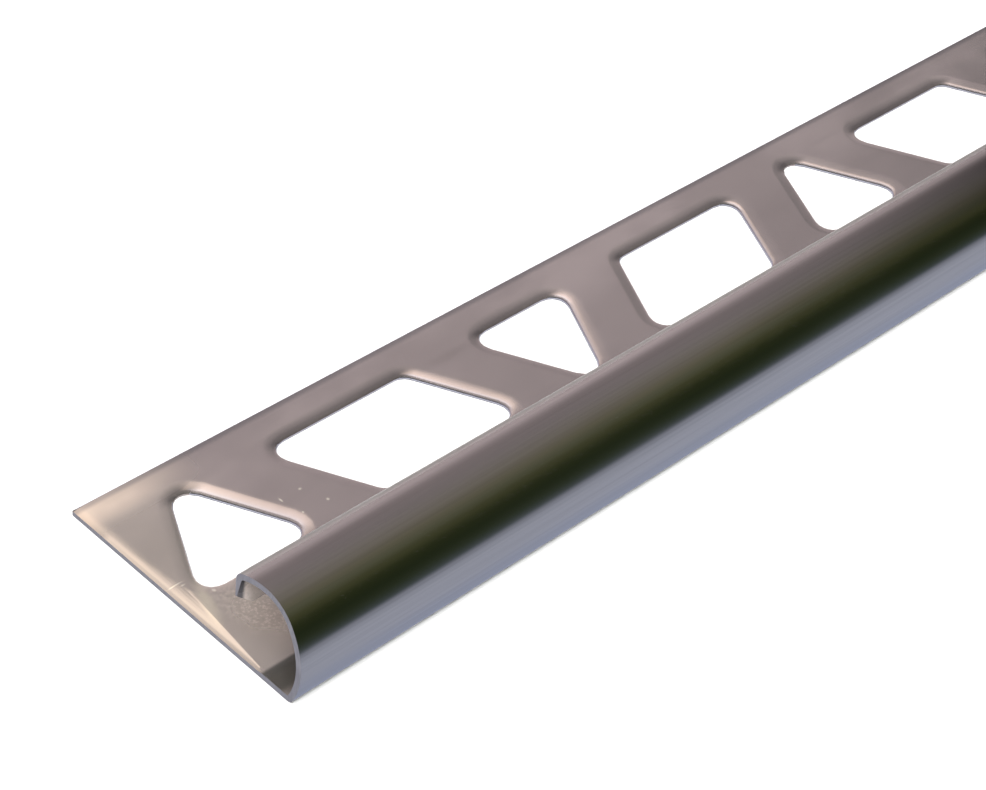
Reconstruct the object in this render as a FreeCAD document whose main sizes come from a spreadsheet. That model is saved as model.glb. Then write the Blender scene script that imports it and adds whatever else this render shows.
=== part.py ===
import FreeCAD, Part
import math
import os

import Sketcher

# Tile edge trim, roll-formed and punched from one strip of stainless steel.
# The trim lies along X on its flat anchoring leg, with the rounded nose at -Y,
# the free edge of the leg at +Y, and the underside of the leg on Z = 0.
# The origin is the middle of the underside of the whole trim's outline.

NODE = "edge_trim"

# Driving dimensions in millimetres, and one angle in degrees.
SIZES = [
    ("length", 1000.0, "cut length of the stock"),
    ("overall_width", 28.6, "front of the nose to the free edge of the leg"),
    ("height", 10.0, "underside of the leg to the crown of the nose"),
    ("sheet", 0.6, "thickness of the strip"),
    ("fold_inner", 0.1, "inside radius of the fold between leg and nose"),
    ("side_radius", 8.0, "outside radius of the nose's bulging side"),
    ("belly_height", 3.9, "height at which the nose stands out furthest"),
    ("crown_radius", 3.8, "outside radius of the nose's shoulder"),
    ("top_radius", 6.5, "outside radius of the top, from the crown to the bend"),
    ("bend_inner", 0.5, "inside radius of the bend into the lip"),
    ("lip_place", 7.9, "front of the nose to the face that the tile meets"),
    ("lip_depth", 4.5, "crown of the nose to the lower edge of the lip"),
    ("edge_strip", 3.9, "plain strip between the holes and the free edge"),
    ("hole_depth", 10.4, "width of the punched band, across the leg"),
    ("hole_pitch", 80.0, "repeat of the pattern of four holes"),
    ("triangle_step", 15.3, "strut to strut across a triangular hole"),
    ("strut_width", 7.1, "width of the slanting struts between the holes"),
    ("strut_lean", 27.3, "lean of the struts from square across the leg"),
    ("first_strut", 0.6, "cut end to the middle of the first strut"),
    ("hole_corner", 1.5, "corner radius of the punched holes"),
    ("roll_width", 0.6, "reach across the leg of the punched edges' rounding"),
    ("roll_depth", 0.15, "depth of the punched edges' rounding"),
]


def write_sheet(doc):
    """Put the driving dimensions into the document's spreadsheet."""
    sheet = doc.addObject("Spreadsheet::Sheet", "Sizes")
    for row, (alias, value, meaning) in enumerate(SIZES, start=1):
        sheet.set("A%d" % row, alias)
        sheet.set("B%d" % row, str(value))
        sheet.set("C%d" % row, meaning)
        sheet.setAlias("B%d" % row, alias)
    doc.recompute()
    return sheet


def origin_item(body, role):
    """Find one of the body's own origin planes or axes by its role."""
    return [item for item in body.Origin.OriginFeatures if item.Role == role][0]


def new_sketch(body, name, plane):
    """Start a sketch flat on one of the body's origin planes."""
    sketch = body.newObject("Sketcher::SketchObject", name)
    sketch.AttachmentSupport = (origin_item(body, plane), "")
    sketch.MapMode = "FlatFace"
    return sketch


def point(across, up):
    return FreeCAD.Vector(across, up, 0)


def add_line(sketch, start, end):
    return sketch.addGeometry(Part.LineSegment(start, end), False)


def add_arc(sketch, centre, radius, start_angle, end_angle):
    circle = Part.Circle(centre, FreeCAD.Vector(0, 0, 1), radius)
    return sketch.addGeometry(Part.ArcOfCircle(circle, start_angle, end_angle), False)


def tie(sketch, *terms):
    """Add a geometric constraint."""
    sketch.addConstraint(Sketcher.Constraint(*terms))


def size(sketch, name, expression, *terms):
    """Add a dimension and bind it to the spreadsheet."""
    number = sketch.addConstraint(Sketcher.Constraint(*terms))
    sketch.renameConstraint(number, name)
    sketch.setExpression("Constraints." + name, expression)


# Two levels closer than this, in millimetres, are the same level.
TOUCH = 1e-6

# Ends of a sketch curve, and the origin and axes of a sketch.
START, END, CENTRE = 1, 2, 3
X_AXIS = -1
ORIGIN = (-1, 1)


def section_sketch(body, s):
    """Closed outline of the formed strip: leg, fold, round nose and lip."""
    sketch = new_sketch(body, "Section", "YZ_Plane")
    free_edge = s.overall_width / 2
    fold = s.fold_inner + s.sheet
    bend = s.bend_inner + s.sheet
    front = free_edge - s.overall_width

    side_c = point(front + s.side_radius, s.belly_height)
    fold_run = math.sqrt((s.side_radius - fold) ** 2 - (s.belly_height - fold) ** 2)
    fold_c = point(side_c.x - fold_run, fold)
    crown_rise = s.height - s.crown_radius - s.belly_height
    crown_run = math.sqrt((s.side_radius - s.crown_radius) ** 2 - crown_rise ** 2)
    crown_c = point(side_c.x - crown_run, s.height - s.crown_radius)
    top_c = point(crown_c.x, s.height - s.top_radius)
    lip_y = front + s.lip_place
    bend_run = lip_y - bend - top_c.x
    bend_rise = math.sqrt((s.top_radius - bend) ** 2 - bend_run ** 2)
    bend_c = point(lip_y - bend, top_c.y + bend_rise)
    lip_end = s.height - s.lip_depth

    down = 1.5 * math.pi
    up = 0.5 * math.pi
    at_fold = math.pi + math.atan2(s.belly_height - fold, fold_run)
    at_crown = math.pi - math.atan2(crown_rise, crown_run)
    at_bend = math.atan2(bend_rise, bend_run)

    outer_leg = add_line(sketch, point(free_edge, 0), point(fold_c.x, 0))
    outer_fold = add_arc(sketch, fold_c, fold, at_fold, down)
    outer_side = add_arc(sketch, side_c, s.side_radius, at_crown, at_fold)
    outer_crown = add_arc(sketch, crown_c, s.crown_radius, up, at_crown)
    outer_top = add_arc(sketch, top_c, s.top_radius, at_bend, up)
    outer_bend = add_arc(sketch, bend_c, bend, 0, at_bend)
    outer_lip = add_line(sketch, point(lip_y, bend_c.y), point(lip_y, lip_end))
    lip_edge = add_line(sketch, point(lip_y, lip_end), point(lip_y - s.sheet, lip_end))
    inner_lip = add_line(sketch, point(lip_y - s.sheet, lip_end), point(lip_y - s.sheet, bend_c.y))
    inner_bend = add_arc(sketch, bend_c, s.bend_inner, 0, at_bend)
    inner_top = add_arc(sketch, top_c, s.top_radius - s.sheet, at_bend, up)
    inner_crown = add_arc(sketch, crown_c, s.crown_radius - s.sheet, up, at_crown)
    inner_side = add_arc(sketch, side_c, s.side_radius - s.sheet, at_crown, at_fold)
    inner_fold = add_arc(sketch, fold_c, s.fold_inner, at_fold, down)
    inner_leg = add_line(sketch, point(fold_c.x, s.sheet), point(free_edge, s.sheet))
    leg_edge = add_line(sketch, point(free_edge, s.sheet), point(free_edge, 0))

    # Both skins run smoothly from the leg to the lip.
    tie(sketch, "Tangent", outer_leg, END, outer_fold, END)
    tie(sketch, "Tangent", outer_fold, START, outer_side, END)
    tie(sketch, "Tangent", outer_side, START, outer_crown, END)
    tie(sketch, "Tangent", outer_crown, START, outer_top, END)
    tie(sketch, "Tangent", outer_top, START, outer_bend, END)
    tie(sketch, "Tangent", outer_bend, START, outer_lip, START)
    tie(sketch, "Tangent", inner_lip, END, inner_bend, START)
    tie(sketch, "Tangent", inner_bend, END, inner_top, START)
    tie(sketch, "Tangent", inner_top, END, inner_crown, START)
    tie(sketch, "Tangent", inner_crown, END, inner_side, START)
    tie(sketch, "Tangent", inner_side, END, inner_fold, START)
    tie(sketch, "Tangent", inner_fold, END, inner_leg, START)
    tie(sketch, "Coincident", outer_lip, END, lip_edge, START)
    tie(sketch, "Coincident", lip_edge, END, inner_lip, START)
    tie(sketch, "Coincident", inner_leg, END, leg_edge, START)
    tie(sketch, "Coincident", leg_edge, END, outer_leg, START)

    # The inner skin follows the outer one at the thickness of the strip.
    tie(sketch, "Coincident", inner_bend, CENTRE, outer_bend, CENTRE)
    tie(sketch, "Coincident", inner_top, CENTRE, outer_top, CENTRE)
    tie(sketch, "Coincident", inner_crown, CENTRE, outer_crown, CENTRE)
    tie(sketch, "Coincident", inner_side, CENTRE, outer_side, CENTRE)
    tie(sketch, "Coincident", inner_fold, CENTRE, outer_fold, CENTRE)

    for line in (outer_leg, lip_edge, inner_leg):
        tie(sketch, "Horizontal", line)
    for line in (outer_lip, inner_lip, leg_edge):
        tie(sketch, "Vertical", line)
    tie(sketch, "Vertical", outer_crown, CENTRE, outer_crown, START)
    tie(sketch, "PointOnObject", outer_leg, START, X_AXIS)

    size(sketch, "free_edge", "Sizes.overall_width / 2",
         "DistanceX", *ORIGIN, leg_edge, END, free_edge)
    size(sketch, "side_from_edge", "Sizes.overall_width - Sizes.side_radius",
         "DistanceX", outer_side, CENTRE, leg_edge, END, s.overall_width - s.side_radius)
    size(sketch, "belly_height", "Sizes.belly_height",
         "DistanceY", *ORIGIN, outer_side, CENTRE, s.belly_height)
    size(sketch, "height", "Sizes.height",
         "DistanceY", *ORIGIN, outer_crown, START, s.height)
    size(sketch, "lip_from_edge", "Sizes.overall_width - Sizes.lip_place",
         "DistanceX", outer_lip, START, leg_edge, END, s.overall_width - s.lip_place)
    size(sketch, "lip_depth", "Sizes.lip_depth",
         "DistanceY", outer_lip, END, outer_crown, START, s.lip_depth)
    size(sketch, "thickness", "Sizes.sheet",
         "DistanceY", leg_edge, END, leg_edge, START, s.sheet)
    size(sketch, "fold_outer", "Sizes.fold_inner + Sizes.sheet", "Radius", outer_fold, fold)
    size(sketch, "side_radius", "Sizes.side_radius", "Radius", outer_side, s.side_radius)
    size(sketch, "crown_radius", "Sizes.crown_radius", "Radius", outer_crown, s.crown_radius)
    size(sketch, "top_radius", "Sizes.top_radius", "Radius", outer_top, s.top_radius)
    size(sketch, "bend_outer", "Sizes.bend_inner + Sizes.sheet", "Radius", outer_bend, bend)
    return sketch


def hole_outline(sketch, name, s, corners, sides):
    """Draw one hole with rounded corners.

    corners are the sharp corners in order round the hole, and sides says what
    holds each side in place: the side runs from its own corner to the next.
    """
    count = len(corners)
    starts, ends, arcs = [], [], []
    for i in range(count):
        corner = corners[i]
        back = (corners[i - 1] - corner).normalize()
        ahead = (corners[(i + 1) % count] - corner).normalize()
        half = back.getAngle(ahead) / 2
        trim = s.hole_corner / math.tan(half)
        centre = corner + (back + ahead).normalize() * (s.hole_corner / math.sin(half))
        arrive, leave = corner + back * trim, corner + ahead * trim
        first = math.atan2(arrive.y - centre.y, arrive.x - centre.x)
        last = math.atan2(leave.y - centre.y, leave.x - centre.x)
        ends.append(arrive)
        starts.append(leave)
        arcs.append(add_arc(sketch, centre, s.hole_corner, first, last))
    lines = [add_line(sketch, starts[i], ends[(i + 1) % count]) for i in range(count)]
    for i in range(count):
        tie(sketch, "Tangent", lines[i - 1], END, arcs[i], START)
        tie(sketch, "Tangent", arcs[i], END, lines[i], START)
        size(sketch, "%s_corner%d" % (name, i), "Sizes.hole_corner",
             "Radius", arcs[i], s.hole_corner)
    for i, (kind, place) in enumerate(sides):
        if kind == "band":
            tie(sketch, "Horizontal", lines[i])
            tie(sketch, "PointOnObject", lines[i], START, place)
            continue
        middle, turn, expression = place
        size(sketch, "%s_lean%d" % (name, i), expression, "Angle", lines[i], math.radians(turn))
        size(sketch, "%s_gap%d" % (name, i), "Sizes.strut_width / 2",
             "Distance", *middle, lines[i], s.strut_width / 2)
    return lines


def punch_sketch(body, s, name, shift, shift_text, lean_sign):
    """Sketch of one triangle and the slanting hole beside it.

    lean_sign is 1 where the triangle's base lies towards the nose, and -1
    where it lies towards the free edge, as the holes take turns.
    """
    sketch = new_sketch(body, name, "XY_Plane")
    near_end = -s.length / 2
    far = s.overall_width / 2 - s.edge_strip
    near = far - s.hole_depth
    middle = (near + far) / 2
    steps = [0, s.triangle_step, s.hole_pitch / 2]
    step_texts = ["0", "Sizes.triangle_step", "Sizes.hole_pitch / 2"]
    first = near_end + s.first_strut + shift
    places = [first + step for step in steps]

    # Two guide lines bound the punched band, and a point marks each strut.
    guides = []
    for label, level, text in (
            ("near", near, "Sizes.overall_width / 2 - Sizes.edge_strip - Sizes.hole_depth"),
            ("far", far, "Sizes.overall_width / 2 - Sizes.edge_strip")):
        line = Part.LineSegment(point(places[0], level), point(places[2], level))
        guide = sketch.addGeometry(line, True)
        tie(sketch, "Horizontal", guide)
        for side, place, step_text in ((START, places[0], step_texts[0]),
                                       (END, places[2], step_texts[2])):
            size(sketch, "%s_guide%d" % (label, side),
                 "Sizes.length / 2 - Sizes.first_strut - %s - %s" % (shift_text, step_text),
                 "DistanceX", guide, side, *ORIGIN, -place)
        size(sketch, label + "_level", text, "DistanceY", *ORIGIN, guide, START, level)
        guides.append(guide)
    marks = []
    for i, place in enumerate(places):
        mark = sketch.addGeometry(Part.Point(point(place, middle)), True)
        size(sketch, "strut%d_along" % i,
             "Sizes.length / 2 - Sizes.first_strut - %s - %s" % (shift_text, step_texts[i]),
             "DistanceX", mark, START, *ORIGIN, -place)
        size(sketch, "strut%d_across" % i,
             "Sizes.overall_width / 2 - Sizes.edge_strip - Sizes.hole_depth / 2",
             "DistanceY", *ORIGIN, mark, START, middle)
        marks.append((mark, START))

    slope = math.tan(math.radians(s.strut_lean))
    half_strut = s.strut_width / 2 / math.cos(math.radians(s.strut_lean))

    def edge(strut, side, sign, level):
        """Edge of a strut at a level: sign 1 leans back as the level rises."""
        return places[strut] + side * half_strut - sign * (level - middle) * slope

    base, tip_side = (near, 1) if lean_sign > 0 else (far, -1)
    left = edge(0, 1, -lean_sign, base)
    right = edge(1, -1, lean_sign, base)
    tip = point((left + right) / 2, base + tip_side * (right - left) / 2 / slope)
    forward, back = 90 - s.strut_lean, 90 + s.strut_lean
    forward_text = "(90 - Sizes.strut_lean) * 1 deg"
    back_text = "(90 + Sizes.strut_lean) * 1 deg"
    if lean_sign > 0:
        hole_outline(sketch, "triangle", s,
                     [point(left, base), point(right, base), tip],
                     [("band", guides[0]),
                      ("strut", (marks[1], back, back_text)),
                      ("strut", (marks[0], forward - 180, forward_text + " - 180 deg"))])
    else:
        hole_outline(sketch, "triangle", s,
                     [tip, point(right, base), point(left, base)],
                     [("strut", (marks[1], forward, forward_text)),
                      ("band", guides[1]),
                      ("strut", (marks[0], back - 180, back_text + " - 180 deg"))])
    rise, rise_text = (back, back_text) if lean_sign > 0 else (forward, forward_text)
    hole_outline(sketch, "slant", s,
                 [point(edge(1, 1, lean_sign, near), near),
                  point(edge(2, -1, lean_sign, near), near),
                  point(edge(2, -1, lean_sign, far), far),
                  point(edge(1, 1, lean_sign, far), far)],
                 [("band", guides[0]),
                  ("strut", (marks[2], rise, rise_text)),
                  ("band", guides[1]),
                  ("strut", (marks[1], rise - 180, rise_text + " - 180 deg"))])
    return sketch


def punch_row(body, sketch, name, start_text):
    """Punch the sketched holes through the leg and repeat them along it."""
    punch = body.newObject("PartDesign::Pocket", name)
    punch.Profile = sketch
    punch.Type = "Length"
    punch.Reversed = True
    punch.setExpression("Length", "Sizes.sheet * 2")
    row = body.newObject("PartDesign::LinearPattern", name + "Row")
    row.Originals = [punch]
    row.Direction = (sketch, ["H_Axis"])
    repeats = "floor((Sizes.length - (%s)) / Sizes.hole_pitch)" % start_text
    row.setExpression("Occurrences", repeats + " + 1")
    row.setExpression("Length", repeats + " * Sizes.hole_pitch")
    body.Tip = row
    return row


def roll_edges(body, s):
    """Ease the upper edges of the holes, which the punch drew down with it."""
    far = s.overall_width / 2 - s.edge_strip
    near = far - s.hole_depth
    punched = body.Tip
    edges = []
    for number, edge in enumerate(punched.Shape.Edges, start=1):
        box = edge.BoundBox
        on_top = abs(box.ZMin - s.sheet) < TOUCH and abs(box.ZMax - s.sheet) < TOUCH
        if on_top and box.YMin > near - s.hole_corner and box.YMax < far + s.hole_corner:
            edges.append("Edge%d" % number)
    roll = body.newObject("PartDesign::Chamfer", "DieRoll")
    roll.Base = (punched, edges)
    roll.ChamferType = "Two distances"
    roll.setExpression("Size", "Sizes.roll_depth")
    roll.setExpression("Size2", "Sizes.roll_width")
    body.Tip = roll


def build_trim(doc, s):
    """The whole trim: the formed section, the two rows of holes, and their edges."""
    body = doc.addObject("PartDesign::Body", "EdgeTrim")
    body.Label = NODE
    body.Placement = FreeCAD.Placement()
    strip = body.newObject("PartDesign::Pad", "Strip")
    strip.Profile = section_sketch(body, s)
    strip.setExpression("Length", "Sizes.length")
    strip.Midplane = True
    doc.recompute()
    base_near = punch_sketch(body, s, "BaseAtNose", 0.0, "0", 1)
    punch_row(body, base_near, "PunchBaseAtNose", "Sizes.first_strut")
    base_far = punch_sketch(body, s, "BaseAtEdge", s.hole_pitch / 2, "Sizes.hole_pitch / 2", -1)
    punch_row(body, base_far, "PunchBaseAtEdge", "Sizes.first_strut + Sizes.hole_pitch / 2")
    doc.recompute()
    roll_edges(body, s)
    doc.recompute()
    return body, strip


def check(doc, body, strip):
    """Stop on any object that failed, or on punches that took no metal away."""
    for item in doc.Objects:
        if "Invalid" in item.State or "Error" in item.State:
            raise RuntimeError("%s failed: %s" % (item.Name, item.State))
    shape = body.Shape
    if shape.isNull() or not shape.isValid() or len(shape.Solids) != 1:
        raise RuntimeError("the trim is not one valid solid")
    if not shape.Volume < strip.Shape.Volume:
        raise RuntimeError("the holes were not punched")


def main():
    doc = FreeCAD.newDocument("TileEdgeTrim")
    sizes = write_sheet(doc)
    body, strip = build_trim(doc, sizes)
    check(doc, body, strip)
    os.makedirs("parts", exist_ok=True)
    body.Shape.exportStep("parts/%s.step" % body.Label)
    box = body.Shape.BoundBox
    print("%s: volume %.1f, X %.3f to %.3f, Y %.3f to %.3f, Z %.3f to %.3f"
          % (body.Label, body.Shape.Volume, box.XMin, box.XMax, box.YMin, box.YMax, box.ZMin, box.ZMax))


main()
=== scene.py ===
import math

import bmesh
import bpy
from bpy.props import FloatProperty, FloatVectorProperty, PointerProperty
from mathutils import Matrix, Vector


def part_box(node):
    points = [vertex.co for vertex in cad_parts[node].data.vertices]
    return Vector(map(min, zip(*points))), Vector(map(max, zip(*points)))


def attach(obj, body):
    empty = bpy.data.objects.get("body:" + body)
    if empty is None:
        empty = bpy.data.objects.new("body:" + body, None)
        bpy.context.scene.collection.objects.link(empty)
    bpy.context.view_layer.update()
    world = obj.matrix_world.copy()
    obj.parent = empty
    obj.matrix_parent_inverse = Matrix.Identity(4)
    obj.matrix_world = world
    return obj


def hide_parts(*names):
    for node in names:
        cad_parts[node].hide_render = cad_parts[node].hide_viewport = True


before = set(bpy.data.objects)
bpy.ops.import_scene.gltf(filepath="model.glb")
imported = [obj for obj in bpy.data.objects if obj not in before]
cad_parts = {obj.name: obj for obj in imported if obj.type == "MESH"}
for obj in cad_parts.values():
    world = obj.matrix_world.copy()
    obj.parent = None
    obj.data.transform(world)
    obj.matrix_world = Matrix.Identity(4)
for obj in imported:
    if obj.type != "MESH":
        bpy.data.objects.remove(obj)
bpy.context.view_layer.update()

# Tile edge trim: a strip of stainless steel, punched along its flat leg and
# roll-formed into a rounded nose. The trim lies along X on its leg, with the
# nose at -Y. All lengths are in metres.

bl_info = {
    "name": "Tile Edge Trim",
    "version": (1, 0, 0),
    "blender": (4, 5, 0),
    "location": "3D View > Sidebar > Trim",
    "description": "Models a punched and roll-formed tile edge trim and its studio",
    "category": "Add Mesh",
}

NODE = "edge_trim"
PIECE = "formed_strip"
LOW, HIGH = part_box(NODE)
MM = 0.001

# Two places closer than this are the same place.
TOUCH = 1e-6


def size_of(label, meaning, default):
    """A length that a user may change."""
    return FloatProperty(name=label, description=meaning, default=default, unit="LENGTH", precision=5)


def colour_of(label, meaning, default):
    """A colour that a user may change."""
    return FloatVectorProperty(name=label, description=meaning, default=default,
                               subtype="COLOR", size=3, min=0.0, max=4.0)


def share_of(label, meaning, default):
    """A factor from 0 to 1 that a user may change."""
    return FloatProperty(name=label, description=meaning, default=default,
                         subtype="FACTOR", min=0.0, max=1.0)


class StripSizes(bpy.types.PropertyGroup):
    """Section, holes and edges of the strip."""
    sheet: size_of("Sheet", "Thickness of the strip", 0.6 * MM)
    fold_inner: size_of("Fold", "Inside radius of the fold between leg and nose", 0.1 * MM)
    side_radius: size_of("Side radius", "Outside radius of the nose's bulging side", 8.0 * MM)
    belly_height: size_of("Belly", "Height at which the nose stands out furthest", 3.9 * MM)
    crown_radius: size_of("Crown radius", "Outside radius of the nose's shoulder", 3.8 * MM)
    top_radius: size_of("Top radius", "Outside radius from the crown to the bend", 6.5 * MM)
    bend_inner: size_of("Bend", "Inside radius of the bend into the lip", 0.5 * MM)
    lip_place: size_of("Lip place", "Front of the nose to the lip's outer face", 7.9 * MM)
    lip_depth: size_of("Lip depth", "Crown of the nose to the lower edge of the lip", 4.5 * MM)
    edge_strip: size_of("Edge strip", "Plain strip between the holes and the free edge", 3.9 * MM)
    hole_depth: size_of("Hole depth", "Width of the punched band", 10.4 * MM)
    hole_pitch: size_of("Hole pitch", "Repeat of the pattern of four holes", 80.0 * MM)
    triangle_step: size_of("Triangle step", "Strut to strut across a triangle", 15.3 * MM)
    strut_width: size_of("Strut width", "Width of the slanting struts", 7.1 * MM)
    strut_lean: FloatProperty(name="Strut lean", description="Lean of the struts from square",
                              default=math.radians(27.3), subtype="ANGLE")
    first_strut: size_of("First strut", "Cut end to the middle of the first strut", 0.6 * MM)
    hole_corner: size_of("Hole corner", "Corner radius of the holes", 1.5 * MM)
    rim_width: size_of("Rim width", "Reach of the drawn-down rim round each hole", 1.3 * MM)
    rim_depth: size_of("Rim depth", "Depth of the drawn-down rim at the hole", 0.42 * MM)
    cut_reach: size_of("Cut reach", "Reach of the shear's drag at the near end", 1.35 * MM)
    leg_drag: size_of("Leg drag", "Depth of the shear's drag on the leg", 0.115 * MM)
    nose_drag: size_of("Nose drag", "Depth of the shear's drag on the nose", 0.02 * MM)
    torn_corner: size_of("Torn corner", "Height and length of the lip's torn corner", 1.1 * MM)
    lip_crush: size_of("Lip crush", "How far the lip's inner side is crushed at the cut", 0.42 * MM)
    slit_round: size_of("Slit round", "Rounding of the slit edges of the strip", 0.1 * MM)


class SteelFinish(bpy.types.PropertyGroup):
    """Colours and sheen of the steel."""
    rolled: colour_of("Rolled", "Smooth outside of the nose", (0.58, 0.55, 0.55))
    mill: colour_of("Mill", "Dull surface of the leg and the inside", (0.53, 0.458, 0.463))
    # Painted highlight: the warm sheen on the near corner by the free edge takes this colour.
    corner_highlight: colour_of("Bloom", "Pale film left near the cut end", (0.78, 0.62, 0.51))
    # Painted shade: the dark band on the leg under the lip, where the leg mirrors the nose's dark inside,
    # takes this colour.
    fold_shade: colour_of("Grime", "Dark film left in the fold of the nose", (0.10, 0.10, 0.09))
    cut: colour_of("Cut", "Sheared edges and hole walls", (0.245, 0.245, 0.295))
    leg_metallic: share_of("Leg metallic", "How clear the leg's mill finish is", 0.74)
    leg_roughness: share_of("Leg roughness", "Dull mill finish of the leg", 0.19)
    nose_roughness: share_of("Nose roughness", "Outside of the nose, smoothed by the rolls", 0.16)
    bend_roughness: share_of("Bend roughness", "Rubbed bend between the nose and its lip", 0.4)
    cut_roughness: share_of("Cut roughness", "Torn metal of the sheared edges", 0.45)


class StudioLook(bpy.types.PropertyGroup):
    """Lens, floor and light of the studio."""
    lens: FloatProperty(name="Lens", description="Focal length of the camera in millimetres",
                        default=92.43, min=1.0)
    floor: colour_of("Floor", "Plain pale floor", (0.86, 0.86, 0.86))
    lamp: FloatProperty(name="Lamp", description="Strength of the soft lamp over the floor",
                        default=4.9, min=0.0)


# Picking by place, in edit mode

def pick(strip, kind, wanted):
    """Select the vertices, edges or faces of the edited mesh that are wanted."""
    modes = {"verts": "VERT", "edges": "EDGE", "faces": "FACE"}
    bpy.ops.mesh.select_mode(type=modes[kind])
    bpy.ops.mesh.select_all(action="DESELECT")
    mesh = bmesh.from_edit_mesh(strip.data)
    found = [item for item in getattr(mesh, kind) if wanted(item)]
    if not found:
        raise RuntimeError("nothing was found to select among the " + kind)
    for item in found:
        item.select_set(True)
    mesh.select_flush_mode()
    bmesh.update_edit_mesh(strip.data)


def all_at(item, axis, place):
    """Whether every corner of an edge or face lies at one place along an axis."""
    return all(abs(vert.co[axis] - place) < TOUCH for vert in item.verts)


def add_plate(x, y, level, length, width):
    """Add a flat rectangle to the edited mesh, at its place and size."""
    middle = (x, y, level)
    bpy.ops.mesh.select_all(action="DESELECT")
    bpy.ops.mesh.primitive_plane_add(size=1.0, location=middle)
    bpy.ops.transform.resize(value=(length, width, 1.0), center_override=middle)


def extrude(y=0.0, z=0.0):
    """Extrude what is selected and move it."""
    bpy.ops.mesh.extrude_region_move(TRANSFORM_OT_translate={"value": (0, y, z)})


# The leg

# Flat margin that keeps the large flats out of the shading of their bends.
FLAT_MARGIN = 0.15 * MM
CORNER_STEPS = 6
# Steps of the rim, and the shares and powers of its fall: even, hollow and steep at the hole.
RIM_STEPS = 9
RIM_FALL = ((0.4, 1), (0.28, 2), (0.32, 12))


def round_corner(strip, corner, half_angle, radius):
    """Round one corner of a flat outline to a circular arc."""
    pick(strip, "verts", lambda vert: (vert.co - corner).length < TOUCH)
    depth = (1 / math.sin(half_angle) - 1) * math.tan(half_angle) / (2 * math.cos(half_angle))
    bpy.ops.mesh.bevel(affect="VERTICES", offset_type="OFFSET", offset=radius / math.tan(half_angle),
                       segments=CORNER_STEPS, profile=(1 - depth) ** 2, clamp_overlap=False)


def draw_rim(strip, s):
    """Dish the metal round the hole and roll its edge over, as the punch does, then punch it out."""
    pick(strip, "faces", lambda face: len(face.verts) > 4)
    bpy.ops.mesh.inset(thickness=FLAT_MARGIN, depth=0.0)
    reached, drop = 0.0, 0.0
    for step in range(1, RIM_STEPS + 1):
        share = math.sin(math.pi / 2 * step / RIM_STEPS)
        lower = s.rim_depth * sum(part * share ** power for part, power in RIM_FALL)
        bpy.ops.mesh.inset(thickness=s.rim_width * (share - reached), depth=drop - lower)
        reached, drop = share, lower
    extrude(z=s.rim_depth - s.sheet)
    bpy.ops.mesh.delete(type="ONLY_FACE")


def punch_pair(strip, s, start, lean):
    """Punch a triangle and the slanting hole beside it.

    The triangle's base lies towards the nose where lean is 1, and towards the
    free edge where it is -1.
    """
    reach = s.rim_width + FLAT_MARGIN
    slope = math.tan(s.strut_lean)
    half = (s.strut_width / 2 - reach) / math.cos(s.strut_lean)
    radius = s.hole_corner + reach
    far = HIGH.y - s.edge_strip + reach
    near = HIGH.y - s.edge_strip - s.hole_depth - reach
    middle = (near + far) / 2
    sharp = (math.pi / 2 - s.strut_lean) / 2
    blunt = (math.pi / 2 + s.strut_lean) / 2
    struts = [start, start + s.triangle_step, start + s.hole_pitch / 2]

    def edge(strut, side, tilt, level):
        return struts[strut] + side * half - tilt * (level - middle) * slope

    base = near if lean > 0 else far
    left = edge(0, 1, -lean, base)
    right = edge(1, -1, lean, base)
    height = (right - left) / 2 / slope
    tip = base + lean * height
    add_plate((left + right) / 2, (base + tip) / 2, s.sheet, right - left, height)
    tip_ends = [Vector((x, tip, s.sheet)) for x in (left, right)]
    pick(strip, "verts", lambda vert: any((vert.co - end).length < TOUCH for end in tip_ends))
    bpy.ops.mesh.merge(type="CENTER")
    round_corner(strip, Vector((left, base, s.sheet)), sharp, radius)
    round_corner(strip, Vector((right, base, s.sheet)), sharp, radius)
    round_corner(strip, Vector(((left + right) / 2, tip, s.sheet)), s.strut_lean, radius)
    draw_rim(strip, s)

    left = edge(1, 1, lean, middle)
    right = edge(2, -1, lean, middle)
    shift = lean * (far - middle) * slope
    add_plate((left + right) / 2, middle, s.sheet, right - left, far - near)
    for level, move in ((far, -shift), (near, shift)):
        pick(strip, "edges", lambda item: item.is_boundary and all_at(item, 1, level)
             and all(left - TOUCH < vert.co.x < right + TOUCH for vert in item.verts))
        bpy.ops.transform.translate(value=(move, 0, 0))
    for level, move in ((far, -shift), (near, shift)):
        first, last = (sharp, blunt) if lean * (level - middle) > 0 else (blunt, sharp)
        round_corner(strip, Vector((left + move, level, s.sheet)), first, radius)
        round_corner(strip, Vector((right + move, level, s.sheet)), last, radius)
    draw_rim(strip, s)


def fold_reach(s):
    """Distance across from the fold's centre to the centre of the nose's side."""
    fold = s.fold_inner + s.sheet
    return math.sqrt((s.side_radius - fold) ** 2 - (s.belly_height - fold) ** 2)


def fold_place(s):
    """Place across the leg where its flat starts at the fold."""
    return LOW.y + s.side_radius - fold_reach(s)


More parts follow.
